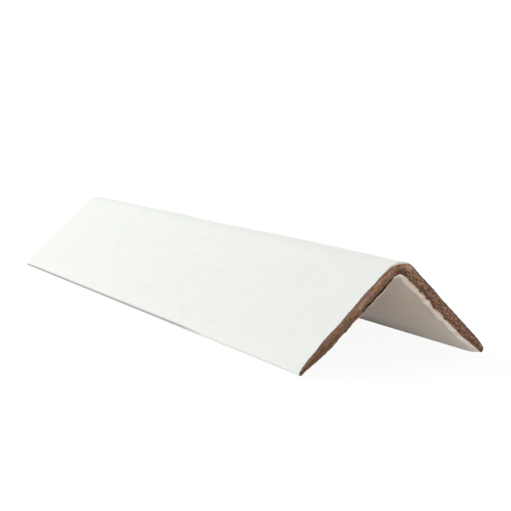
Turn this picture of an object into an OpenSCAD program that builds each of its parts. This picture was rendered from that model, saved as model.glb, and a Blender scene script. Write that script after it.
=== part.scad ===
// Paperboard edge protector for pallet loads: an angle of laminated brown board
// with a white paper liner, cut square at both ends. It stands on its two free
// edges with the bend up. X runs across the legs, Y along the length, Z up, and
// the origin is under the middle of the bend, on the surface it stands on.

/* [Angle] */
// Outside length of each leg, from the sharp corner to the free edge
leg_length = 50; // [40:1:100]
// Thickness of the finished board, both liners included
board_thickness = 4; // [3:0.1:6]
// Angle between the legs: pressed board springs a little past square
opening_angle = 96; // [86:1:110]
// Radius on the inside of the bend
inner_bend_radius = 3.2; // [1:0.1:5]
// Length that the angle is cut to
cut_length = 240; // [100:10:2000]

/* [Free edges] */
// Length over which the inner face slopes towards a free edge
inner_taper = 12; // [8:0.5:16]
// Length over which the outer face slopes towards a free edge
outer_taper = 5; // [3:0.5:8]
// Thickness of the brown core at its free edge
core_edge_thickness = 1.5; // [0.2:0.1:1.7]
// Where the free edge lies, from the middle of the board (0) to its outer face (1)
edge_shift = 0.5; // [0:0.05:0.8]

/* [Liner] */
// Thickness of the white liner paper
liner_thickness = 0.4; // [0.2:0.05:0.6]
// Width of outer liner that lies on the flat inner face, past the taper
turn_in = 2; // [1:0.5:8]

/* [Hidden] */

core_brown = "#7a5a46";
liner_white = "#eef1ee";
// Straight steps in each round stretch of the section
arc_steps = 24;

half_angle = opening_angle / 2;
outer_bend_radius = inner_bend_radius + board_thickness;
mid_bend_radius = inner_bend_radius + board_thickness / 2;

// A leg is measured along s, from the end of the bend to the free edge, and
// across n, from the middle of the board towards the outside.
tip_s = leg_length - outer_bend_radius / tan(half_angle);
nose_radius = core_edge_thickness / 2 + liner_thickness;
nose_s = tip_s - nose_radius;
nose_n = edge_shift * (board_thickness / 2 - nose_radius);
seam_s = tip_s - inner_taper - turn_in;

// The height of the bend's centre puts both noses on the standing surface
bend_centre = [
    0,
    nose_radius + nose_s * cos(half_angle) - (mid_bend_radius + nose_n) * sin(half_angle)
];

// The section is drawn in X and Z. A depth is measured in from the finished surface.
function arc(centre, radius, from, to) =
    [for (i = [0 : arc_steps])
        let (angle = from + (to - from) * i / arc_steps)
            centre + radius * [cos(angle), sin(angle)]];

function reversed(points) = [for (i = [len(points) - 1 : -1 : 0]) points[i]];

function mirrored(points) = [for (point = reversed(points)) [-point[0], point[1]]];

// A point on the right leg
function on_leg(s, n) =
    bend_centre
    + s * [sin(half_angle), -cos(half_angle)]
    + (mid_bend_radius + n) * [cos(half_angle), sin(half_angle)];

// Over the bend from left to right, and back under it
function outer_bend(depth) =
    arc(bend_centre, outer_bend_radius - depth, 180 - half_angle, half_angle);

function inner_bend(depth) =
    arc(bend_centre, inner_bend_radius + depth, half_angle, 180 - half_angle);

// Where the flat face ends on a leg, and the slope from there to the round nose:
// side is 1 outside and -1 inside
function taper_s(side) = tip_s - (side > 0 ? outer_taper : inner_taper);

function taper_angle(side) =
    let (reach = nose_s - taper_s(side), drop = board_thickness / 2 - side * nose_n)
        acos(nose_radius / norm([reach, drop])) - atan2(reach, drop);

function taper_start(depth, side) =
    on_leg(
        taper_s(side) - depth * tan(taper_angle(side) / 2),
        side * (board_thickness / 2 - depth)
    );

// Round the right leg's free edge, from the outside to the inside
function free_edge(depth) =
    concat(
        [taper_start(depth, 1)],
        arc(
            on_leg(nose_s, nose_n),
            nose_radius - depth,
            half_angle - taper_angle(1),
            half_angle + taper_angle(-1) - 180
        ),
        [taper_start(depth, -1)]
    );

// Where the two liners meet on the inside of the right leg
function seam(depth) = [on_leg(seam_s, depth - board_thickness / 2)];

// From seam to seam over the outside, and from seam to seam round the inside
function outer_run(depth) =
    concat(
        mirrored(seam(depth)),
        mirrored(free_edge(depth)),
        outer_bend(depth),
        free_edge(depth),
        seam(depth)
    );

function inner_run(depth) =
    concat(seam(depth), inner_bend(depth), mirrored(seam(depth)));

// Runs a section along the whole cut length
module cut_to_length(section) {
    rotate([90, 0, 0])
        linear_extrude(height = cut_length, center = true)
            polygon(section);
}

// Laminated plies of brown recycled board, pressed into one angle
module board_core() {
    color(core_brown)
        cut_to_length(concat(
            outer_bend(liner_thickness),
            free_edge(liner_thickness),
            inner_bend(liner_thickness),
            mirrored(free_edge(liner_thickness))
        ));
}

// White liner over the outside, turned in round both free edges
module outer_liner() {
    color(liner_white)
        cut_to_length(concat(outer_run(0), reversed(outer_run(liner_thickness))));
}

// White liner on the inside, between the turned-in edges
module inner_liner() {
    color(liner_white)
        cut_to_length(concat(inner_run(0), reversed(inner_run(liner_thickness))));
}

board_core();
outer_liner();
inner_liner();
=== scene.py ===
"""Laminated board edge protector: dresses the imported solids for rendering.

The brown core, the outer liner and the inner liner are built as blocks of board that follow the
section of the solids. One Geometry Nodes tree bows, swells and tears them as a press and a board
cutter do, and another scatters torn fibres over the cut ends.
"""

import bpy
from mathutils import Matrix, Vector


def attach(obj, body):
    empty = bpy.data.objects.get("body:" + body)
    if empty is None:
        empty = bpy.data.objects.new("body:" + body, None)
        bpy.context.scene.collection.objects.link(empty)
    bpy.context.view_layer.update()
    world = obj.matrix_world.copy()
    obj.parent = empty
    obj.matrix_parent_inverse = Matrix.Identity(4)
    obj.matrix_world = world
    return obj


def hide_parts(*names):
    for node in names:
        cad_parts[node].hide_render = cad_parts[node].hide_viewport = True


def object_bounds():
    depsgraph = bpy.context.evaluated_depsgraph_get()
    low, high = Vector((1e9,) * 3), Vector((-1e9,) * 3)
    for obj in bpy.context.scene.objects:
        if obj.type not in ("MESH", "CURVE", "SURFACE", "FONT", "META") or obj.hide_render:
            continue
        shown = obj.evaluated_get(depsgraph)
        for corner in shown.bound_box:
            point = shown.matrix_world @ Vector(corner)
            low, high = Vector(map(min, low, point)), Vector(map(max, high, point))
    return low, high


bl_info = {
    "name": "Edge Protector",
    "version": (1, 0, 0),
    "blender": (4, 5, 0),
    "location": "3D View > Sidebar > Edge Protector",
    "description": "Builds a white-lined laminated board angle with rough cut ends",
    "category": "Add Mesh",
}

import math

import bmesh
import bpy
import numpy as np
from mathutils import Matrix, Vector

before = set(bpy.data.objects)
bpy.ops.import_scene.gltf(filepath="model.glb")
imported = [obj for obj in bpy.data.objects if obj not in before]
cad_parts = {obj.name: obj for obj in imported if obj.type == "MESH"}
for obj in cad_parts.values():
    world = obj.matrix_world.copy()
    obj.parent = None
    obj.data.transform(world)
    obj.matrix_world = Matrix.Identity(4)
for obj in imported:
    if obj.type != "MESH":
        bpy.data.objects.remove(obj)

MM = 0.001
CAD_BOX = [list(corner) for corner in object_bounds()]
CUT_LENGTH = CAD_BOX[1][1] - CAD_BOX[0][1]

# How fine the blocks of board are: steps round the section, layers across it, and places along the
# length, which are a spacing in the middle and some distances from each cut
CORE_STEP = 0.14 * MM
CORE_LAYERS = 30
CORE_SPACING = 24 * MM
CORE_NEAR_CUT_MM = (0, 0.15, 0.5, 1, 1.8, 2.8, 4, 6, 9)
LINER_STEP = 0.3 * MM
LINER_LAYERS = 3
LINER_SPACING = 6 * MM
LINER_NEAR_CUT_MM = (0, 0.03, 0.09, 0.2, 0.4, 0.7, 1, 1.4, 1.8, 2.3, 2.8, 3.4, 4.2, 5.5, 7.5, 10)
NOSE_POINTS = 25
# What lies closer than this is in the same place
TINY = 0.001 * MM
SHARP_EDGE = math.radians(40)

# Patches of these sizes leave a direction out: they stay the same all through the board, or differ
# only from one end to the other
EVEN = 1.0
END_TO_END = 0.1
# With these, counted in plies and in ends, every ply and each end is unlike the next
PLY_APART = 0.37
END_APART = 0.3
# How far one step of the seed moves every pattern
SEED_STEP = (10 * MM, 10 * MM, 10 * MM)

SENSOR_MM = 36.0
FLOOR_RADIUS = 4.0
RIM_HEIGHT = 0.6
# The floor lies this far under the free edges
FLOOR_GAP = 0.02 * MM
# The floor's glow is dimmer near the middle, where the shadow lies: distances and strengths
GLOW_REACH = (0.1, 0.45)
GLOW_STRENGTH = (0.92, 1.0)
# For each lamp the way to it from the aim, its distance and its side
LAMPS = {
    "key": ((-0.64, 0.56, 0.52), 0.85, 0.62),
    "fill": ((-0.30, -0.93, 0.06), 1.6, 0.3),
    "side": ((0.80, 0.25, 0.55), 0.9, 0.6),
}


# Settings


class BoardSizes(bpy.types.PropertyGroup):
    """Sizes of the pressed angle, the same as in the solids"""

    leg_length: bpy.props.FloatProperty(
        name="Leg length", unit="LENGTH", default=50 * MM,
        description="Outside length of each leg, from the sharp corner to the free edge")
    board_thickness: bpy.props.FloatProperty(
        name="Board thickness", unit="LENGTH", default=4 * MM,
        description="Finished thickness, both liners included")
    opening_angle: bpy.props.FloatProperty(
        name="Opening angle", subtype="ANGLE", default=math.radians(96),
        description="Angle between the legs")
    inner_bend_radius: bpy.props.FloatProperty(
        name="Inner bend radius", unit="LENGTH", default=3.2 * MM,
        description="Radius on the inside of the bend")
    inner_taper: bpy.props.FloatProperty(
        name="Inner taper", unit="LENGTH", default=12 * MM,
        description="Length over which the inner face slopes towards a free edge")
    outer_taper: bpy.props.FloatProperty(
        name="Outer taper", unit="LENGTH", default=5 * MM,
        description="Length over which the outer face slopes towards a free edge")
    core_edge_thickness: bpy.props.FloatProperty(
        name="Core edge thickness", unit="LENGTH", default=1.5 * MM,
        description="Thickness of the brown core at its free edge")
    edge_shift: bpy.props.FloatProperty(
        name="Edge shift", subtype="FACTOR", default=0.5, min=0, max=1,
        description="Where the free edge lies, from the middle of the board to its outer face")
    liner_thickness: bpy.props.FloatProperty(
        name="Liner thickness", unit="LENGTH", default=0.4 * MM,
        description="Thickness of the white liner paper")
    turn_in: bpy.props.FloatProperty(
        name="Turn-in", unit="LENGTH", default=2 * MM,
        description="Width of outer liner on the flat inner face, past the taper")


class CutSettings(bpy.types.PropertyGroup):
    """How the board was pressed and how roughly its ends were cut"""

    warp_height: bpy.props.FloatProperty(
        name="Warp height", unit="LENGTH", default=0.15 * MM,
        description="How far the flat faces bow in and out")
    warp_length: bpy.props.FloatProperty(
        name="Warp length", unit="LENGTH", default=45 * MM,
        description="Distance from one bow to the next")
    lip_height: bpy.props.FloatProperty(
        name="Lip height", unit="LENGTH", default=0.52 * MM,
        description="How far the cutter swelled the inner face beside a cut")
    lip_width: bpy.props.FloatProperty(
        name="Lip width", unit="LENGTH", default=2.1 * MM,
        description="From the cut to the top of the swollen lip")
    burr_height: bpy.props.FloatProperty(
        name="Burr height", unit="LENGTH", default=0.75 * MM,
        description="How far the cutter pushed plies into the hollow, in the bend and on the left leg")
    dent_depth: bpy.props.FloatProperty(
        name="Dent depth", unit="LENGTH", default=0.4 * MM,
        description="How far the cutter pressed in the lower inner edge of the right leg")
    tip_pull: bpy.props.FloatProperty(
        name="Tip pull", unit="LENGTH", default=1.35 * MM,
        description="How far the cutter pulled up the right free edge at a cut")
    tip_squeeze: bpy.props.FloatProperty(
        name="Tip squeeze", unit="LENGTH", default=0.6 * MM,
        description="How far the cutter squeezed the left free edge at a cut")
    bulge: bpy.props.FloatProperty(
        name="Bulge", unit="LENGTH", default=0.28 * MM,
        description="How far the cutter bulged the legs out at a cut")
    set_back: bpy.props.FloatProperty(
        name="Set-back", unit="LENGTH", default=0.5 * MM,
        description="How far the inner liner ends before the cut in places")
    cut_wave: bpy.props.FloatProperty(
        name="Cut wave", unit="LENGTH", default=0.35 * MM,
        description="How far the cut wanders from square")
    ragged_edge: bpy.props.FloatProperty(
        name="Ragged edge", unit="LENGTH", default=0.2 * MM,
        description="Depth of the small tears along a cut")
    ply_pitch: bpy.props.FloatProperty(
        name="Ply pitch", unit="LENGTH", default=0.46 * MM,
        description="Thickness of one ply of the core")
    ply_relief: bpy.props.FloatProperty(
        name="Ply relief", unit="LENGTH", default=0.12 * MM,
        description="Height of the torn plies on a cut end")
    fibre_length: bpy.props.FloatProperty(
        name="Fibre length", unit="LENGTH", default=0.9 * MM,
        description="Length of a torn fibre")
    fibre_thickness: bpy.props.FloatProperty(
        name="Fibre thickness", unit="LENGTH", default=0.05 * MM,
        description="Thickness of a bundle of torn fibres")
    fibre_density: bpy.props.FloatProperty(
        name="Fibre density", default=2.0e6, min=0,
        description="Torn fibres on each square metre of cut end")
    seed: bpy.props.IntProperty(
        name="Seed", default=7, description="Changes every wave, tear and fibre")


class ColourSettings(bpy.types.PropertyGroup):
    """Colours of the papers, as sRGB hex values"""

    outer_white: bpy.props.StringProperty(
        name="Outer white", default="#f5f8f3", description="White of the outer liner")
    # The inner off-white is darker than the outer white, partly as painted shade of the hollow
    inner_white: bpy.props.StringProperty(
        name="Inner white", default="#eee0d3", description="Off-white of the inner liner")
    raw_edge: bpy.props.StringProperty(
        name="Raw edge", default="#463a34", description="Grey-brown of the outer liner's cut edge")


class StageSettings(bpy.types.PropertyGroup):
    """Camera and light"""

    aim: bpy.props.FloatVectorProperty(
        name="Aim", subtype="TRANSLATION", default=(0.0, -0.03245, 0.02300),
        description="Point that the camera looks at")
    azimuth: bpy.props.FloatProperty(
        name="Azimuth", subtype="ANGLE", default=math.radians(30.78),
        description="Turn of the view from +Y towards +X")
    elevation: bpy.props.FloatProperty(
        name="Elevation", subtype="ANGLE", default=math.radians(7.585),
        description="How far the camera looks down")
    roll: bpy.props.FloatProperty(
        name="Roll", subtype="ANGLE", default=math.radians(1.718),
        description="Turn of the camera about its own axis")
    distance: bpy.props.FloatProperty(
        name="Distance", unit="LENGTH", default=0.4145,
        description="From the camera to the aim")
    lens: bpy.props.FloatProperty(
        name="Lens", default=77.79, description="Focal length in millimetres on a 36 mm sensor")
    sky: bpy.props.FloatProperty(
        name="Sky", default=0.47, min=0, description="Strength of the even light from all round")
    key: bpy.props.FloatProperty(
        name="Key", default=0.485, min=0, description="Light that a face turned to the key lamp gets")
    fill: bpy.props.FloatProperty(
        name="Fill", default=0.38, min=0, description="Light that a face turned to the fill lamp gets")
    side: bpy.props.FloatProperty(
        name="Side", default=0.4, min=0, description="Light that a face turned to the side lamp gets")


SETTINGS = {
    "board": BoardSizes,
    "cut": CutSettings,
    "colours": ColourSettings,
    "stage": StageSettings,
}


def settings(name):
    """One of the groups of settings that register() puts on the scene"""
    return getattr(bpy.context.scene, "protector_" + name)


# Nodes


def add(tree, kind, inputs=None, output=None, **options):
    """Adds a node, sets its options, sets or links its inputs, and returns one of its outputs."""
    node = tree.nodes.new(kind)
    for option, value in options.items():
        setattr(node, option, value)
    for key, value in (inputs or {}).items():
        named = [s for s in node.inputs if s.enabled and key in (s.name, s.identifier)]
        socket = named[0] if named else node.inputs[key]
        if isinstance(value, bpy.types.NodeSocket):
            tree.links.new(value, socket)
        else:
            socket.default_value = value
    outputs = [s for s in node.outputs if s.enabled and output in (None, s.name)]
    return outputs[0] if outputs else None


def linear(colour):
    """An sRGB hex colour as linear red, green and blue, with alpha"""
    channels = [int(colour[i:i + 2], 16) / 255 for i in (1, 3, 5)]
    return [c / 12.92 if c <= 0.04045 else ((c + 0.055) / 1.055) ** 2.4 for c in channels] + [1.0]


def patches(tree, place, size, turn=0.0, detail=0.0):
    """Random patches of a real size in metres, from 0 to 1. turn picks other patches of that size."""
    spread = add(tree, "ShaderNodeVectorMath", {0: place, 1: size}, operation="DIVIDE")
    turned = add(tree, "ShaderNodeVectorMath", {0: spread, 1: (turn, turn, turn)}, operation="ADD")
    return add(tree, "ShaderNodeTexNoise", {"Vector": turned, "Scale": 1.0, "Detail": detail})


def waves(tree, height, place, size, turn=0.0, detail=0.0):
    """Random waves of a height, both ways from zero. Patches keep within about 0.25 of their middle."""
    return add(tree, "ShaderNodeMapRange", {
        "Value": patches(tree, place, size, turn, detail), "From Min": 0.5, "From Max": 0.75,
        "To Min": 0.0, "To Max": height}, clamp=False)


def faded(tree, amount, ramps):
    """An amount that fades with one field after another. A ramp is a field, where it lets nothing of
    the amount through, and where it lets all of it through."""
    for field, gone, full in ramps:
        amount = add(tree, "ShaderNodeMapRange", {
            "Value": field, "From Min": gone, "From Max": full, "To Min": 0.0, "To Max": amount})
    return amount


# The section, in X and Z


class Section:
    """The angle's section. s runs down a leg from the bend, n across the board to the outside.
    Points come with the way out of the board, the run along its middle from the top of the bend,
    and the depth under the outside of the flat board. A side is 1 outside and -1 inside."""

    def __init__(self, sizes):
        self.thickness = sizes.board_thickness
        self.liner = sizes.liner_thickness
        self.half_angle = sizes.opening_angle / 2
        self.inner_radius = sizes.inner_bend_radius
        self.outer_radius = self.inner_radius + self.thickness
        self.mid_radius = self.inner_radius + self.thickness / 2
        self.bend_half = math.pi / 2 - self.half_angle
        self.tip_s = sizes.leg_length - self.outer_radius / math.tan(self.half_angle)
        self.nose_radius = sizes.core_edge_thickness / 2 + self.liner
        self.nose_s = self.tip_s - self.nose_radius
        self.nose_n = sizes.edge_shift * (self.thickness / 2 - self.nose_radius)
        self.taper_s = {1: self.tip_s - sizes.outer_taper, -1: self.tip_s - sizes.inner_taper}
        self.seam_s = self.taper_s[-1] - sizes.turn_in
        # At this height of the bend's centre both noses stand on the floor
        height = (self.nose_radius + self.nose_s * math.cos(self.half_angle)
                  - (self.mid_radius + self.nose_n) * math.sin(self.half_angle))
        self.centre = np.array([0.0, height])

    def taper_angle(self, side):
        """The slope from the flat face to the round nose"""
        reach = self.nose_s - self.taper_s[side]
        drop = self.thickness / 2 - side * self.nose_n
        return math.acos(self.nose_radius / math.hypot(reach, drop)) - math.atan2(reach, drop)

    def run(self, s):
        """The run at s"""
        return self.bend_half * self.mid_radius + s

    def bend(self, radius, step):
        """The right half of the bend, from its top to the leg"""
        angles = steps(0, self.bend_half, step / self.mid_radius)
        out = np.stack([np.sin(angles), np.cos(angles)], -1)
        depth = np.full(len(angles), self.outer_radius - radius)
        return self.centre + radius * out, out, angles * self.mid_radius, depth

    def leg(self, s, n, depth):
        """Points on the right leg"""
        out = np.array([math.cos(self.half_angle), math.sin(self.half_angle)])
        down = np.array([math.sin(self.half_angle), -math.cos(self.half_angle)])
        points = self.centre + np.outer(s, down) + np.outer(self.mid_radius + n, out)
        return points, np.tile(out, (len(s), 1)), self.run(s), np.broadcast_to(depth, s.shape)

    def core_face(self, s, side):
        """n on one face of the core at s"""
        radius = self.nose_radius - self.liner
        angle = self.taper_angle(side)
        flat = self.thickness / 2 - self.liner - side * self.nose_n
        taper = (radius - math.sin(angle) * (s - self.nose_s)) / math.cos(angle)
        nose = np.sqrt(np.clip(radius ** 2 - (s - self.nose_s) ** 2, 0, None))
        on_nose = s > self.nose_s + radius * math.sin(angle)
        return self.nose_n + side * np.where(on_nose, nose, np.minimum(flat, taper))


def steps(start, stop, step):
    """Even steps from start to stop, both included"""
    return np.linspace(start, stop, max(2, round(abs(stop - start) / step) + 1))


def chained(parts):
    """Chains stretches of section, each of which starts where the one before it ends"""
    return tuple(np.concatenate([field if i == 0 else field[1:] for i, field in enumerate(fields)])
                 for fields in zip(*parts))


def both_legs(right):
    """Adds the mirror image of a stretch that starts at the top of the bend"""
    flip = np.array([-1.0, 1.0])
    return tuple(np.concatenate([field[:0:-1] * sign, field])
                 for field, sign in zip(right, (flip, flip, -1, 1)))


def core_layers(section):
    """The core in layers, from its outer to its inner face, with finer steps round its noses"""
    flat = section.thickness / 2 - section.liner
    tip = section.tip_s - section.liner
    s = np.concatenate([
        steps(0, section.nose_s, CORE_STEP), steps(section.nose_s, tip, CORE_STEP / 2)[1:]])
    outer, inner = section.core_face(s, 1), section.core_face(s, -1)
    layers = []
    for share in np.linspace(0, 1, CORE_LAYERS + 1):
        across = flat * (1 - 2 * share)
        bend = section.bend(section.mid_radius + across, CORE_STEP)
        leg = section.leg(s, outer + share * (inner - outer), section.thickness / 2 - across)
        layers.append(both_legs(chained([bend, leg])))
    return layers


def outer_layer(section, depth):
    """The outer liner from seam to seam, at a depth under the finished surface"""
    face = section.thickness / 2 - depth
    radius = section.nose_radius - depth
    inside = section.thickness - depth
    turn = np.linspace(
        math.pi / 2 - section.taper_angle(1), section.taper_angle(-1) - math.pi / 2, NOSE_POINTS)
    nose = np.stack(
        [section.nose_s + radius * np.cos(turn), section.nose_n + radius * np.sin(turn)], -1)
    flat_end = {
        side: [section.taper_s[side] - depth * math.tan(section.taper_angle(side) / 2), side * face]
        for side in (1, -1)}
    parts = [section.bend(section.outer_radius - depth, LINER_STEP)]
    for start, stop, length, below in (
            ([0, face], flat_end[1], section.taper_s[1], depth),
            (flat_end[1], nose[0], section.nose_s - section.taper_s[1], depth),
            (None, None, None, np.linspace(depth, inside, NOSE_POINTS)),
            (nose[-1], flat_end[-1], section.nose_s - section.taper_s[-1], inside),
            (flat_end[-1], [section.seam_s, -face], section.taper_s[-1] - section.seam_s, inside)):
        line = nose if start is None else np.linspace(start, stop, round(length / LINER_STEP) + 1)
        parts.append(section.leg(line[:, 0], line[:, 1], below))
    return both_legs(chained(parts))


def inner_layer(section, depth):
    """The inner liner from seam to seam, at a depth under the finished surface"""
    s = steps(0, section.seam_s, LINER_STEP)
    leg = section.leg(s, np.full(len(s), depth - section.thickness / 2), section.thickness - depth)
    return both_legs(chained([section.bend(section.inner_radius + depth, LINER_STEP), leg]))


# Blocks of board


def places_along(spacing, near_cut_mm):
    """Places along the length, with some more near each cut"""
    near = CUT_LENGTH / 2 - np.array(near_cut_mm) * MM
    middle = steps(-near[-1], near[-1], spacing)
    return np.concatenate([-near, middle[1:-1], near[::-1]])


def block_mesh(name, layers, places):
    """A closed block: layers across the board, each repeated at every place along its length.
    Its points carry where they lie in the board."""
    points, out, run, depth = (np.stack(field, 1) for field in zip(*layers))
    shape = run.shape + (len(places),)
    sides = [tuple(end if a == axis else slice(None) for a in range(3))
             for axis in range(3) for end in (0, -1)]
    skin = np.zeros(shape, bool)
    for side in sides:
        skin[side] = True
    number = np.full(shape, -1)
    number[skin] = np.arange(skin.sum())
    faces = []
    for side in sides:
        grid = number[side]
        quads = np.stack([grid[:-1, :-1], grid[1:, :-1], grid[1:, 1:], grid[:-1, 1:]], -1)
        faces += quads.reshape(-1, 4).tolist()
    i, j, k = np.nonzero(skin)
    corners = np.stack([points[i, j, 0], places[k], points[i, j, 1]], -1)
    mesh = bpy.data.meshes.new(name)
    mesh.from_pydata(corners.tolist(), [], faces)
    fields = {
        "run": run[i, j],
        "depth": depth[i, j],
        "end": np.sign(places[k]),
        "inset": CUT_LENGTH / 2 - np.abs(places[k]),
    }
    for field, values in fields.items():
        attribute = mesh.attributes.new(field, "FLOAT", "POINT")
        attribute.data.foreach_set("value", values.astype(np.float32))
    outward = np.stack([out[i, j, 0], np.zeros(len(i)), out[i, j, 1]], -1).astype(np.float32)
    mesh.attributes.new("out", "FLOAT_VECTOR", "POINT").data.foreach_set("vector", outward.ravel())
    shell = bmesh.new()
    shell.from_mesh(mesh)
    bmesh.ops.remove_doubles(shell, verts=shell.verts, dist=TINY)
    bmesh.ops.recalc_face_normals(shell, faces=shell.faces)
    shell.to_mesh(mesh)
    shell.free()
    return mesh


# Geometry Nodes trees


def new_tree(name, numbers):
    """A Geometry Nodes tree with named inputs. Returns the tree and its inputs' sockets."""
    tree = bpy.data.node_groups.new(name, "GeometryNodeTree")
    tree.interface.new_socket("Geometry", in_out="INPUT", socket_type="NodeSocketGeometry")
    tree.interface.new_socket("Geometry", in_out="OUTPUT", socket_type="NodeSocketGeometry")
    for number in numbers:
        tree.interface.new_socket(number, in_out="INPUT", socket_type="NodeSocketFloat")
    tree.interface.new_socket("Material", in_out="INPUT", socket_type="NodeSocketMaterial")
    given = add(tree, "NodeGroupInput").node.outputs
    return tree, {socket.name: socket for socket in given if socket.name}


def close_tree(tree, geometry, material):
    """Ends a tree in real meshes with a material"""
    real = add(tree, "GeometryNodeRealizeInstances", {"Geometry": geometry})
    done = add(tree, "GeometryNodeSetMaterial", {"Geometry": real, "Material": material})
    add(tree, "NodeGroupOutput", {"Geometry": done})


def press_tree():
    """Bows, swells, pulls and tears a block of board, as the press and the cutter did"""
    tree, given = new_tree("pressed_and_cut_board", (
        "Thickness", "Taper Start", "Tip", "Warp Height", "Warp Length", "Lip Height", "Lip Width",
        "Burr Height", "Dent Depth", "Tip Pull", "Tip Squeeze", "Bulge", "Set-back", "Cut Wave",
        "Ragged Edge", "Ply Pitch", "Ply Relief", "Seed"))
    run, depth, inset, end = (
        add(tree, "GeometryNodeInputNamedAttribute", {"Name": name})
        for name in ("run", "depth", "inset", "end"))
    position = add(tree, "GeometryNodeInputPosition")
    length = add(tree, "ShaderNodeSeparateXYZ", {"Vector": position}, "Y")
    flat = add(tree, "ShaderNodeCombineXYZ", {"X": run, "Y": depth, "Z": length})
    board = add(tree, "ShaderNodeVectorMath", {0: given["Seed"], 1: SEED_STEP, 2: flat},
                operation="MULTIPLY_ADD")
    face = add(tree, "ShaderNodeVectorMath", {0: board, 1: (1, 0, 1)}, operation="MULTIPLY")
    share = add(tree, "ShaderNodeMath", {0: depth, 1: given["Thickness"]}, operation="DIVIDE")
    reach = add(tree, "ShaderNodeMath", {0: run}, operation="ABSOLUTE")

    # The ways that points move: out of the board, into the hollow, up the right leg, past the cut
    # and back from it
    out = add(tree, "GeometryNodeInputNamedAttribute", {"Name": "out"}, data_type="FLOAT_VECTOR")
    inward = add(tree, "ShaderNodeVectorMath", {"Vector": out, "Scale": -1.0}, operation="SCALE")
    up_leg = add(tree, "ShaderNodeVectorMath", {0: out, 1: (0, 1, 0)}, operation="CROSS_PRODUCT")
    past_cut = add(tree, "ShaderNodeCombineXYZ", {"Y": end})
    back = add(tree, "ShaderNodeVectorMath", {"Vector": past_cut, "Scale": -1.0}, operation="SCALE")

    # Ramps that several marks share: most on the inner face, none on a free edge, close to the cut,
    # and none at the left seam
    inner = (share, 0.3, 1.0)
    off_edge = (reach, given["Tip"], given["Taper Start"])
    at_cut = (inset, 3 * MM, 0.0)
    off_seam = (run, -33 * MM, -29 * MM)

    # The flat faces bow, and the free edges stay where they stand
    bow = waves(tree, given["Warp Height"], face, given["Warp Length"])
    bow = faded(tree, bow, [off_edge])

    # The cutter swelled the inner face into an uneven lip beside the cut, most of all on the right
    # leg, and evenly towards the free edges
    uneven = add(tree, "ShaderNodeMapRange", {
        "Value": reach, "From Min": 28 * MM, "From Max": 38 * MM,
        "To Min": patches(tree, face, (3.4 * MM, EVEN, 60 * MM), turn=3, detail=1), "To Max": 0.5})
    width = add(tree, "ShaderNodeMapRange", {
        "Value": uneven, "From Min": -0.2, "From Max": 0.5,
        "To Min": 0.0, "To Max": given["Lip Width"]}, clamp=False)
    past = add(tree, "ShaderNodeMath", {0: width, 1: 2.6 * MM}, operation="ADD")
    swell = faded(tree, given["Lip Height"], [
        (inset, 0.0, width), inner, (run, -30 * MM, 2 * MM), (uneven, -0.1, 0.5), off_edge])
    crest = faded(tree, swell, [(inset, past, width)])
    shoulder = faded(tree, swell, [(inset, 11 * MM, -6 * MM)])
    wavy = waves(tree, 0.2 * MM, face, (2.4 * MM, EVEN, 30 * MM), turn=4, detail=1)
    wavy = faded(tree, wavy, [
        (inset, 5 * MM, 0.0), inner, (run, 42 * MM, 28 * MM), (run, -32 * MM, -12 * MM)])

    # It pushed plies into the inside of the bend and a tag of them off the left leg, dented the right
    # leg below, and pulled up its free edge
    burr = faded(tree, given["Burr Height"], [
        (run, -4 * MM, 2.5 * MM), (run, 12 * MM, 5 * MM), (inset, 10 * MM, 0.0), inner])
    tag = faded(tree, given["Burr Height"], [
        (run, -1 * MM, -8 * MM), (run, -22 * MM, -18 * MM), (inset, 5 * MM, 0.0), (share, 0.2, 1.3)])
    dent = faded(tree, given["Dent Depth"], [(run, 22 * MM, 31 * MM), (inset, 6 * MM, 0.0), inner])
    pull = faded(tree, given["Tip Pull"], [
        (run, given["Taper Start"], given["Tip"]), (inset, 9 * MM, 0.0), (inset, 9 * MM, 0.0)])

    # It squeezed the left free edge, more from the outside
    squeeze = faded(tree, given["Tip Squeeze"], [(run, -32 * MM, -44 * MM), (inset, 12 * MM, 0.0)])
    squeeze_in = faded(tree, squeeze, [(share, 0.75, 0.0)])
    squeeze_out = faded(tree, squeeze, [(share, 0.4, 2.0)])

    # Both legs bulge out at the cut
    bulge_right = faded(tree, given["Bulge"], [
        (run, 24 * MM, 37 * MM), (run, 47 * MM, 41 * MM), (inset, 8 * MM, 0.0)])
    bulge_left = faded(tree, given["Bulge"], [
        (run, -3 * MM, -9 * MM), (run, -22 * MM, -17 * MM), (inset, 8 * MM, 0.0), (share, 1.2, 0.4)])

    # The cut wanders and its edge is ragged
    wander = waves(tree, given["Cut Wave"], face, (7 * MM, EVEN, END_TO_END), turn=5, detail=1)
    wander = faded(tree, wander, [(inset, 4 * MM, 0.0)])
    ragged = waves(tree, given["Ragged Edge"], board, (0.9 * MM, 0.5 * MM, END_TO_END), turn=6, detail=2)
    ragged = faded(tree, ragged, [(inset, 2 * MM, 0.0)])

    # The inner liner ends before the cut on the left leg, and is nicked on the right one
    missing = patches(tree, face, (5 * MM, EVEN, END_TO_END), turn=7)
    nicked = patches(tree, face, (1.8 * MM, EVEN, END_TO_END), turn=9)
    short = faded(tree, given["Set-back"], [
        (missing, 0.25, 0.6), (run, -2 * MM, -6 * MM), off_seam, at_cut])
    shorter = faded(tree, given["Set-back"], [(run, -21 * MM, -26 * MM), off_seam, at_cut])
    hidden = faded(tree, given["Set-back"], [
        (run, -3 * MM, -6 * MM), (run, -20 * MM, -17 * MM), at_cut])
    nicks = faded(tree, given["Set-back"], [(nicked, 0.55, 0.65), (run, 8 * MM, 12 * MM), at_cut])

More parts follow.
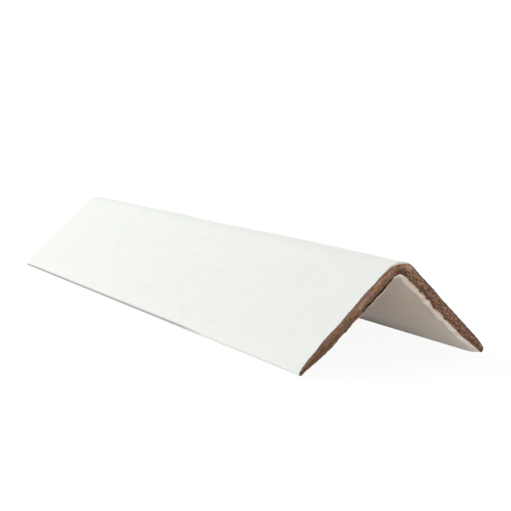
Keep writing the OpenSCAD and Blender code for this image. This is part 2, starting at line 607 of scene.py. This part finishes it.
    # Each ply tore at its own height, with fibres, a groove at every glue line, pits, and a split
    # inside on the left leg. The tone and the fibres together lie 3 above the cut, which is taken off.
    wobble = waves(tree, 0.4, face, (7 * MM, EVEN, END_TO_END), turn=8)
    plies = add(tree, "ShaderNodeMath", {0: depth, 1: given["Ply Pitch"]}, operation="DIVIDE")
    ply_place = add(tree, "ShaderNodeMath", {0: plies, 1: wobble}, operation="ADD")
    ply = add(tree, "ShaderNodeMath", {0: ply_place}, operation="FLOOR")
    within = add(tree, "ShaderNodeMath", {0: ply_place, 1: 0.5}, operation="PINGPONG")
    ply_run = add(tree, "ShaderNodeCombineXYZ", {"X": run, "Y": ply, "Z": end})
    tone = patches(tree, ply_run, (8 * MM, PLY_APART, END_APART), turn=11)
    fibre = patches(tree, board, (0.8 * MM, 0.14 * MM, END_TO_END), turn=12, detail=2)
    tear = patches(tree, board, (2.6 * MM, 0.55 * MM, END_TO_END), turn=13, detail=1)
    gap = patches(tree, face, (6 * MM, EVEN, END_TO_END), turn=14)
    groove = faded(tree, -0.6, [(within, 0.14, 0.0)])
    pit = faded(tree, -1.2, [(tear, 0.55, 0.7)])
    split = faded(tree, -5.0, [
        (share, 0.66, 0.84), (run, -3 * MM, -6 * MM), (run, -25 * MM, -20 * MM), (gap, 0.35, 0.6)])
    relief = add(tree, "ShaderNodeMath", {0: split, 1: -3.0}, operation="ADD")
    for part, height in ((tone, 2.8), (fibre, 3.2), (groove, 1.0), (pit, 1.0)):
        relief = add(tree, "ShaderNodeMath", {0: part, 1: height, 2: relief}, operation="MULTIPLY_ADD")
    torn = add(tree, "ShaderNodeMath", {0: relief, 1: given["Ply Relief"]}, operation="MULTIPLY")
    torn = faded(tree, torn, [(inset, 0.02 * MM, 0.0)])

    shaped = given["Geometry"]
    for name, value in (("relief", relief), ("ply_tone", tone)):
        shaped = add(tree, "GeometryNodeStoreNamedAttribute", {
            "Geometry": shaped, "Name": name, "Value": value})
    # The moves along the length come last, because the patterns lie along it
    for way, amounts in (
            (out, (bow, dent, squeeze_out, bulge_right, bulge_left)),
            (inward, (crest, shoulder, wavy, burr, tag, squeeze_in)),
            (up_leg, (pull,)),
            (past_cut, (wander, ragged, torn)),
            (back, (short, shorter, hidden, nicks))):
        for amount in amounts:
            move = add(tree, "ShaderNodeVectorMath", {"Vector": way, "Scale": amount}, operation="SCALE")
            shaped = add(tree, "GeometryNodeSetPosition", {"Geometry": shaped, "Offset": move})
    close_tree(tree, shaped, given["Material"])
    return tree


def fibre_tree():
    """Scatters torn fibres over the cut ends, but not on the thin free edges and the inner plies"""
    tree, given = new_tree("torn_fibres", ("Density", "Length", "Thickness", "Seed"))
    run, depth, inset = (
        add(tree, "GeometryNodeInputNamedAttribute", {"Name": name}) for name in ("run", "depth", "inset"))
    at_cut = add(tree, "FunctionNodeCompare", {"A": inset, "B": TINY}, operation="LESS_THAN")
    reach = add(tree, "ShaderNodeMath", {0: run}, operation="ABSOLUTE")
    density = faded(tree, given["Density"], [(reach, 45 * MM, 43 * MM), (depth, 3.5 * MM, 3.0 * MM)])
    points = add(tree, "GeometryNodeDistributePointsOnFaces", {
        "Mesh": given["Geometry"], "Selection": at_cut, "Density": density, "Seed": given["Seed"]})

    # A bent fibre of length 1 with a square section, rooted a little under the cut
    bent = add(tree, "GeometryNodeCurveQuadraticBezier", {
        "Resolution": 4, "Start": (0, 0, -0.1), "Middle": (0, 0, 0.6), "End": (0.5, 0, 0.7)})
    ratio = add(tree, "ShaderNodeMath", {0: given["Thickness"], 1: given["Length"]}, operation="DIVIDE")
    profile = add(tree, "GeometryNodeCurvePrimitiveCircle", {"Resolution": 4, "Radius": ratio})
    fibre = add(tree, "GeometryNodeCurveToMesh", {
        "Curve": bent, "Profile Curve": profile, "Fill Caps": True})

    # Each leans up to 1.3 radians, turns any way, and has a length of its own
    lean = add(tree, "FunctionNodeRandomValue", {"Min": (-1.3, -1.3, 0), "Max": (1.3, 1.3, math.tau)},
               data_type="FLOAT_VECTOR")
    turn = add(tree, "FunctionNodeEulerToRotation", {"Euler": lean})
    turned = add(tree, "FunctionNodeRotateRotation", {
        "Rotation": points.node.outputs["Rotation"], "Rotate By": turn}, rotation_space="LOCAL")
    size = add(tree, "FunctionNodeRandomValue", {"Min": 0.3, "Max": 1.1, "Seed": 1}, data_type="FLOAT")
    scale = add(tree, "ShaderNodeMath", {0: size, 1: given["Length"]}, operation="MULTIPLY")
    fibres = add(tree, "GeometryNodeInstanceOnPoints", {
        "Points": points, "Instance": fibre, "Rotation": turned, "Scale": scale})
    close_tree(tree, fibres, given["Material"])
    return tree


def made_by(tree, name, mesh, values):
    """Runs a tree on a mesh and returns a piece with the result as its plain mesh"""
    piece = bpy.data.objects.new(name, mesh)
    bpy.context.scene.collection.objects.link(piece)
    modifier = piece.modifiers.new(tree.name, "NODES")
    modifier.node_group = tree
    for item in tree.interface.items_tree:
        if item.in_out == "INPUT" and item.name in values:
            modifier[item.identifier] = values[item.name]
    depsgraph = bpy.context.evaluated_depsgraph_get()
    result = bpy.data.meshes.new_from_object(
        piece.evaluated_get(depsgraph), preserve_all_data_layers=True, depsgraph=depsgraph)
    piece.modifiers.clear()
    piece.data = result
    result.name = name
    if not result.polygons:
        raise RuntimeError(f"{name} came out empty")
    result.shade_smooth()
    result.set_sharp_from_angle(angle=SHARP_EDGE)
    return piece


# Materials


def new_material(name):
    """A material with an empty tree"""
    material = bpy.data.materials.new(name)
    material.use_nodes = True
    material.node_tree.nodes.clear()
    return material, material.node_tree


def board_place(tree):
    """Where a point lies in the board: run round the section, depth under the outside, length"""
    run, depth = (
        add(tree, "ShaderNodeAttribute", output="Fac", attribute_name=name) for name in ("run", "depth"))
    place = add(tree, "ShaderNodeTexCoord", output="Object")
    length = add(tree, "ShaderNodeSeparateXYZ", {"Vector": place}, "Y")
    return add(tree, "ShaderNodeCombineXYZ", {"X": run, "Y": depth, "Z": length})


def tinted(tree, colour, tint, mask, low=0.0, high=1.0, most=1.0):
    """A colour with a tint, up to most of it, where a mask goes from low to high. The tint is a hex
    value or the colour of another node."""
    amount = add(tree, "ShaderNodeMapRange", {
        "Value": mask, "From Min": low, "From Max": high, "To Max": most})
    paint = linear(tint) if isinstance(tint, str) else tint
    return add(tree, "ShaderNodeMix", {"Factor": amount, "A": colour, "B": paint}, data_type="RGBA")


def board_material():
    """Brown recycled board, laminated and then cut with a blunt knife"""
    # Dull and hairy, in short streaks that follow the plies: red-brown, mauve, tan and olive, with
    # painted shade in every pit
    material, tree = new_material("laminated_recycled_board")
    board = board_place(tree)
    run, depth = (add(tree, "ShaderNodeSeparateXYZ", {"Vector": board}, axis) for axis in "XY")
    streak = patches(tree, board, (2 * MM, 0.55 * MM, 3 * MM), detail=2)
    colour = tinted(tree, linear("#946f57"), "#b39178", streak, 0.3, 0.7)
    for tint, size, turn, low, high, most in (
            ("#a8664c", (3.4 * MM, 1.5 * MM, 3 * MM), 11, 0.48, 0.6, 0.8),
            ("#7b6e50", (3.8 * MM, 1.5 * MM, 3 * MM), 23, 0.54, 0.64, 0.85),
            ("#9f7b74", (3.2 * MM, 1.4 * MM, 3 * MM), 31, 0.52, 0.62, 0.85),
            ("#c8a888", (1.2 * MM, 0.6 * MM, 2 * MM), 37, 0.57, 0.66, 0.5),
            ("#b4532f", (1.4 * MM, 1.0 * MM, 2 * MM), 41, 0.71, 0.76, 0.9)):
        fleck = patches(tree, board, size, turn, detail=1)
        colour = tinted(tree, colour, tint, fleck, low, high, most)

    # Single fibres are about 0.03 mm thick, drawn at 0.25 mm so that they show. They are dark, above
    # all on the right leg, which was torn more.
    fibre = patches(tree, board, (0.9 * MM, 0.25 * MM, 0.9 * MM), turn=5, detail=2)
    rough = faded(tree, 1.0, [(run, -8 * MM, 4 * MM)])
    colour = tinted(tree, colour, "#3a2519", fibre, 0.5, 0.26, 0.3)
    colour = tinted(tree, colour, "#3a2519", faded(tree, rough, [(fibre, 0.5, 0.32)]), most=0.6)
    ply_tone = add(tree, "ShaderNodeAttribute", output="Fac", attribute_name="ply_tone")
    colour = tinted(tree, colour, "#553b2d", ply_tone, 0.5, 0.3, 0.3)

    # The cut end is darker towards both faces, most towards the inside, where it is painted shade from the
    # gap under the inner liner, and the right leg is spotted
    colour = tinted(tree, colour, "#4b3527", depth, 1.8 * MM, 2.8 * MM, 0.5)
    colour = tinted(tree, colour, "#4b3527", depth, 1.3 * MM, 0.5 * MM, 0.22)
    spots = patches(tree, board, (1.3 * MM, 0.55 * MM, 2 * MM), turn=19, detail=1)
    colour = tinted(tree, colour, "#3f2a20", faded(tree, rough, [(spots, 0.46, 0.62)]), most=0.7)
    colour = tinted(tree, colour, "#c09a80", faded(tree, rough, [(spots, 0.42, 0.3)]), most=0.6)

    # On the left leg the inner plies are darker still, as painted shade from the gap under the inner liner,
    # and the plies at the free edge are olive. In the bend the inner plies are crushed dark, the outer ones
    # on the right get a pale painted highlight where they bend out towards the light, and white paper frays
    # over its top.
    for tint, most, ramps in (
            # painted shade on the inner plies of the left leg
            ("#453424", 0.28, [(depth, 1.7 * MM, 2.5 * MM), (run, -3 * MM, -10 * MM)]),
            ("#57472f", 0.35, [(run, -24 * MM, -36 * MM)]),
            ("#4a3216", 0.4, [(depth, 1.5 * MM, 2.4 * MM), (run, -5 * MM, -1 * MM), (run, 7 * MM, 3 * MM)]),
            # painted highlight on the outer plies right of the top of the bend
            ("#d0a894", 0.5, [
                (depth, 2.0 * MM, 1.2 * MM), (run, 0.6 * MM, 2 * MM), (run, 5.8 * MM, 3.4 * MM)]),
            ("#e2d6cb", 0.9, [
                (depth, 0.85 * MM, 0.6 * MM), (run, -3.4 * MM, -1.6 * MM), (run, 1.6 * MM, 0.4 * MM)])):
        colour = tinted(tree, colour, tint, faded(tree, most, ramps))

    relief = add(tree, "ShaderNodeAttribute", output="Fac", attribute_name="relief")
    # Painted shade in the pits, grooves and split of the torn plies, darker the deeper they lie
    colour = tinted(tree, colour, "#1f130d", relief, -0.6, -3.8, 0.8)
    bump = add(tree, "ShaderNodeBump", {"Strength": 0.5, "Distance": 0.05 * MM, "Height": fibre})
    surface = add(tree, "ShaderNodeBsdfPrincipled", {
        "Base Color": colour, "Roughness": 0.95, "Specular IOR Level": 0.2, "Normal": bump})
    add(tree, "ShaderNodeOutputMaterial", {"Surface": surface})
    return material


def liner_material(name, white, shade, raw_light, raw_dark, edge_shadow_tint):
    """Liner paper: a white top on grey recycled paper, which shows where it was cut"""
    # Matt and nearly even, with faint streaks and clouds where the fibres lie thicker, and a fine tooth
    material, tree = new_material(name)
    board = board_place(tree)
    run, depth, length = (add(tree, "ShaderNodeSeparateXYZ", {"Vector": board}, axis) for axis in "XYZ")
    reach = add(tree, "ShaderNodeMath", {0: run}, operation="ABSOLUTE")
    inset = add(tree, "ShaderNodeAttribute", output="Fac", attribute_name="inset")
    inner_face = (depth, 2.6 * MM, 3.4 * MM)
    colour = linear(white)
    for size, turn, most in (
            ((6 * MM, EVEN, 9 * MM), 3, 0.4),
            ((0.9 * MM, EVEN, 30 * MM), 4, 0.3),
            ((0.5 * MM, EVEN, 0.8 * MM), 6, 0.3)):
        cloud = patches(tree, board, size, turn, detail=2)
        colour = tinted(tree, colour, shade, cloud, 0.4, 0.7, most)

    # Painted contact shadow darkens the undersides of the free edges where they stand, fading out towards
    # the near cut
    painted_edge_shadow = faded(tree, 0.9, [(depth, 0.4 * MM, 1.4 * MM), (length, -60 * MM, -44 * MM)])
    colour = tinted(tree, colour, edge_shadow_tint, painted_edge_shadow)

    # Inside, the paper is off-white, darker and warmer than outside, which is partly painted shade of the
    # hollow, in grey and rosy clouds. Towards the free edges and most on the turned-in edge it is paler,
    # which is painted light where the hollow opens.
    warm = linear(settings("colours").inner_white)
    for tint, turn in (("#dedccd", 21), ("#f0dccf", 22)):
        cloud = patches(tree, board, (11 * MM, EVEN, 14 * MM), turn, detail=1)
        warm = tinted(tree, warm, tint, cloud, 0.45, 0.65, 0.4)
    # painted light: paler towards the free edges
    warm = tinted(tree, warm, "#fdf4ea", reach, 20 * MM, 44 * MM)

    # Beside the cut the inside gets pale painted highlights and darker painted shade in patches along the
    # uneven lip
    for tint, turn in (("#fbfcf2", 24), ("#d3bcac", 26)):
        place = patches(tree, board, (4.5 * MM, EVEN, 40 * MM), turn, detail=1)
        painted_lip_light_and_shade = faded(tree, 0.7, [
            (inset, 5 * MM, 2 * MM), (place, 0.48, 0.62), (reach, 41 * MM, 31 * MM)])
        warm = tinted(tree, warm, tint, painted_lip_light_and_shade)
    # The inside colour, with its painted shade and light, also covers the outer liner where it turns in
    colour = tinted(tree, colour, warm, depth, 1.6 * MM, 3 * MM)

    # Painted shade darkens the inside along the free edges, where the hollow meets the floor, fading out
    # towards the near cut
    edge = (reach, 33 * MM, 47 * MM)
    painted_tunnel_shade = faded(tree, 0.8, [edge, edge, inner_face, (length, -100 * MM, -66 * MM)])
    colour = tinted(tree, colour, "#5a4d45", painted_tunnel_shade)

    # The cut edge is mottled, darker on the right leg as painted shade, frays white over the bend, and goes
    # brown inside towards the seam
    mottle = patches(tree, board, (1.6 * MM, 0.2 * MM, EVEN), turn=9, detail=2)
    raw = tinted(tree, linear(raw_dark), raw_light, mottle)
    # painted shade: the right leg's cut edge is darker
    raw = tinted(tree, raw, raw_dark, run, 4 * MM, 9 * MM, 0.9)
    frayed = faded(tree, 0.9, [(run, -6.0 * MM, -3.5 * MM), (run, 2.4 * MM, 1.0 * MM)])
    raw = tinted(tree, raw, "#e6dcd3", frayed)
    raw = tinted(tree, raw, "#755b4a", faded(tree, 0.8, [(reach, 25 * MM, 30 * MM), inner_face]))
    colour = tinted(tree, colour, raw, inset, 0.06 * MM, 0.02 * MM)

    # The tooth of the paper is about 0.1 mm, drawn at 0.4 mm so that it shows
    tooth = patches(tree, board, (0.4 * MM, EVEN, 0.5 * MM), turn=17, detail=2)
    bump = add(tree, "ShaderNodeBump", {"Strength": 0.12, "Distance": 0.03 * MM, "Height": tooth})
    surface = add(tree, "ShaderNodeBsdfPrincipled", {
        "Base Color": colour, "Roughness": 0.62, "Specular IOR Level": 0.3, "Normal": bump})
    add(tree, "ShaderNodeOutputMaterial", {"Surface": surface})
    return material


def fibre_material():
    """Torn fibres of recycled board"""
    # Dull, and each bundle has a brown of its own, from dark to pale tan
    material, tree = new_material("torn_board_fibre")
    bundle = add(tree, "ShaderNodeNewGeometry", output="Random Per Island")
    colour = tinted(tree, linear("#6b4a39"), "#a98770", bundle)
    surface = add(tree, "ShaderNodeBsdfPrincipled", {
        "Base Color": colour, "Roughness": 0.9, "Specular IOR Level": 0.2})
    add(tree, "ShaderNodeOutputMaterial", {"Surface": surface})
    return material


def seen_straight(tree):
    """1 where the camera sees a surface, also in a gloss or through glass, and 0 where it gives light"""
    path = add(tree, "ShaderNodeLightPath").node.outputs
    straight = path["Is Camera Ray"]
    for ray in ("Is Glossy Ray", "Is Transmission Ray"):
        straight = add(tree, "ShaderNodeMath", {0: straight, 1: path[ray]}, operation="MAXIMUM")
    return straight


# Operators


def pressed(name, mesh, material, relief=0.0, set_back=0.0):
    """A block of board, pressed and cut. Only the core has plies that tear, and only the inner liner
    is set back."""
    section = Section(settings("board"))
    cut = settings("cut")
    tree = bpy.data.node_groups.get("pressed_and_cut_board") or press_tree()
    return made_by(tree, name, mesh, {
        "Thickness": section.thickness,
        "Taper Start": section.run(section.taper_s[-1]),
        "Tip": section.run(section.tip_s),
        "Warp Height": cut.warp_height,
        "Warp Length": cut.warp_length,
        "Lip Height": cut.lip_height,
        "Lip Width": cut.lip_width,
        "Burr Height": cut.burr_height,
        "Dent Depth": cut.dent_depth,
        "Tip Pull": cut.tip_pull,
        "Tip Squeeze": cut.tip_squeeze,
        "Bulge": cut.bulge,
        "Set-back": set_back,
        "Cut Wave": cut.cut_wave,
        "Ragged Edge": cut.ragged_edge,
        "Ply Pitch": cut.ply_pitch,
        "Ply Relief": relief,
        "Seed": float(cut.seed),
        "Material": material,
    })


class PROTECTOR_OT_core(bpy.types.Operator):
    """Lays up the brown plies as one core with torn ends"""
    bl_idname = "protector.core"
    bl_label = "Board core"

    def execute(self, context):
        layers = core_layers(Section(settings("board")))
        mesh = block_mesh("core", layers, places_along(CORE_SPACING, CORE_NEAR_CUT_MM))
        core = pressed("laminated_core", mesh, board_material(), relief=settings("cut").ply_relief)
        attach(core, "root")
        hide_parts("board_core")
        return {"FINISHED"}


class PROTECTOR_OT_liners(bpy.types.Operator):
    """Covers the core with the outer liner, turned in round the free edges, and the inner liner"""
    bl_idname = "protector.liners"
    bl_label = "Liner papers"

    def execute(self, context):
        section = Section(settings("board"))
        colours = settings("colours")
        places = places_along(LINER_SPACING, LINER_NEAR_CUT_MM)
        # The last colour of each paper tints the painted contact shadow under its free edges
        outer_paper = liner_material(
            "white_top_liner_paper", white=colours.outer_white, shade="#edf0eb",
            raw_light="#a09284", raw_dark=colours.raw_edge, edge_shadow_tint="#a0a2a2")
        inner_paper = liner_material(
            "off_white_liner_paper", white=colours.inner_white, shade="#e6d8cb",
            raw_light="#e2d0c2", raw_dark="#b79f8d", edge_shadow_tint=colours.inner_white)
        for name, node, layer, set_back, material in (
                ("outer_liner_paper", "outer_liner", outer_layer, 0.0, outer_paper),
                ("inner_liner_paper", "inner_liner", inner_layer, settings("cut").set_back, inner_paper)):
            layers = [layer(section, depth) for depth in np.linspace(0, section.liner, LINER_LAYERS + 1)]
            liner = pressed(name, block_mesh(name, layers, places), material, set_back=set_back)
            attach(liner, "root")
            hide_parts(node)
        return {"FINISHED"}


class PROTECTOR_OT_fibres(bpy.types.Operator):
    """Scatters torn fibres over the cut ends of the core"""
    bl_idname = "protector.fibres"
    bl_label = "Torn fibres"

    def execute(self, context):
        cut = settings("cut")
        core = bpy.data.objects["laminated_core"]
        fibres = made_by(fibre_tree(), "torn_fibres", core.data.copy(), {
            "Density": cut.fibre_density,
            "Length": cut.fibre_length,
            "Thickness": cut.fibre_thickness,
            "Seed": float(cut.seed),
            "Material": fibre_material(),
        })
        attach(fibres, "root")
        return {"FINISHED"}


class PROTECTOR_OT_stage(bpy.types.Operator):
    """Sets up the pale floor, the soft light and the camera"""
    bl_idname = "protector.stage"
    bl_label = "Stage"

    def execute(self, context):
        scene = context.scene
        stage = settings("stage")
        scene.view_settings.view_transform = "Standard"
        self.lay_floor(scene)
        self.light_sky(scene, stage.sky)
        aim = Vector(stage.aim)
        for name, (way, distance, side) in LAMPS.items():
            self.hang_lamp(scene, name, aim, Vector(way).normalized(), distance, side, getattr(stage, name))
        ahead = Vector((math.sin(stage.azimuth) * math.cos(stage.elevation),
                        math.cos(stage.azimuth) * math.cos(stage.elevation),
                        -math.sin(stage.elevation)))
        camera = bpy.data.objects.new("camera", bpy.data.cameras.new("camera"))
        camera.data.lens = stage.lens
        camera.data.sensor_width = SENSOR_MM
        camera.data.clip_start = 10 * MM
        camera.matrix_world = (Matrix.Translation(aim - ahead * stage.distance)
                               @ ahead.to_track_quat("-Z", "Y").to_matrix().to_4x4()
                               @ Matrix.Rotation(stage.roll, 4, "Z"))
        scene.collection.objects.link(camera)
        scene.camera = camera
        return {"FINISHED"}

    def lay_floor(self, scene):
        """A wide white floor with a rim that hides the horizon. Where it is seen it is darker and
        glows, so that all but the shadow is white."""
        material, tree = new_material("white_floor")
        place = add(tree, "ShaderNodeTexCoord", output="Object")
        far = add(tree, "ShaderNodeVectorMath", {0: place}, "Value", operation="LENGTH")
        glow = add(tree, "ShaderNodeMapRange", {
            "Value": far, "From Min": GLOW_REACH[0], "From Max": GLOW_REACH[1],
            "To Min": GLOW_STRENGTH[0], "To Max": GLOW_STRENGTH[1]}, interpolation_type="SMOOTHSTEP")
        plain = add(tree, "ShaderNodeBsdfDiffuse", {"Color": linear("#f3f3f1")})
        soft = add(tree, "ShaderNodeBsdfDiffuse", {"Color": linear("#585858")})
        lit = add(tree, "ShaderNodeEmission", {"Strength": glow})
        seen = add(tree, "ShaderNodeAddShader", {0: soft, 1: lit})
        surface = add(tree, "ShaderNodeMixShader", {0: seen_straight(tree), 1: plain, 2: seen})
        add(tree, "ShaderNodeOutputMaterial", {"Surface": surface})
        mesh = bpy.data.meshes.new("floor")
        disc = bmesh.new()
        below = Matrix.Translation((0, 0, -FLOOR_GAP))
        bmesh.ops.create_circle(disc, cap_ends=True, radius=FLOOR_RADIUS, segments=64, matrix=below)
        border = [edge for edge in disc.edges if edge.is_boundary]
        rim = bmesh.ops.extrude_edge_only(disc, edges=border)
        raised = [part for part in rim["geom"] if isinstance(part, bmesh.types.BMVert)]
        bmesh.ops.translate(disc, verts=raised, vec=(0, 0, RIM_HEIGHT))
        disc.to_mesh(mesh)
        disc.free()
        mesh.materials.append(material)
        floor = bpy.data.objects.new("floor", mesh)
        scene.collection.objects.link(floor)

    def light_sky(self, scene, strength):
        """Even light from all round, and a white background where it is seen"""
        world = bpy.data.worlds.new("studio")
        world.use_nodes = True
        tree = world.node_tree
        tree.nodes.clear()
        level = add(tree, "ShaderNodeMapRange", {
            "Value": seen_straight(tree), "To Min": strength, "To Max": 1.0})
        sky = add(tree, "ShaderNodeBackground", {"Color": (1, 1, 1, 1), "Strength": level})
        add(tree, "ShaderNodeOutputWorld", {"Surface": sky})
        scene.world = world

    def hang_lamp(self, scene, name, aim, way, distance, side, strength):
        """A square lamp, turned to the aim. A white face turned to it renders at its strength."""
        lamp = bpy.data.lights.new(name, "AREA")
        lamp.size = side
        lamp.energy = strength * (math.pi * distance) ** 2
        hung = bpy.data.objects.new(name, lamp)
        hung.matrix_world = (Matrix.Translation(aim + way * distance)
                             @ way.to_track_quat("Z", "Y").to_matrix().to_4x4())
        scene.collection.objects.link(hung)


class PROTECTOR_PT_panel(bpy.types.Panel):
    """Lists the pieces of the protector, its stage and their settings"""
    bl_idname = "PROTECTOR_PT_panel"
    bl_label = "Edge Protector"
    bl_space_type = "VIEW_3D"
    bl_region_type = "UI"
    bl_category = "Edge Protector"

    def draw(self, context):
        for operator in OPERATORS:
            self.layout.operator(operator.bl_idname)
        for name, group in SETTINGS.items():
            box = self.layout.box()
            for field in group.__annotations__:
                box.prop(settings(name), field)


OPERATORS = (PROTECTOR_OT_core, PROTECTOR_OT_liners, PROTECTOR_OT_fibres, PROTECTOR_OT_stage)
CLASSES = tuple(SETTINGS.values()) + OPERATORS + (PROTECTOR_PT_panel,)


def register():
    for cls in CLASSES:
        bpy.utils.register_class(cls)
    for name, group in SETTINGS.items():
        setattr(bpy.types.Scene, "protector_" + name, bpy.props.PointerProperty(type=group))


def unregister():
    for name in SETTINGS:
        delattr(bpy.types.Scene, "protector_" + name)
    for cls in reversed(CLASSES):
        bpy.utils.unregister_class(cls)


def main():
    register()
    bpy.ops.protector.core()
    bpy.ops.protector.liners()
    bpy.ops.protector.fibres()
    bpy.ops.protector.stage()


if __name__ == "__main__":
    main()
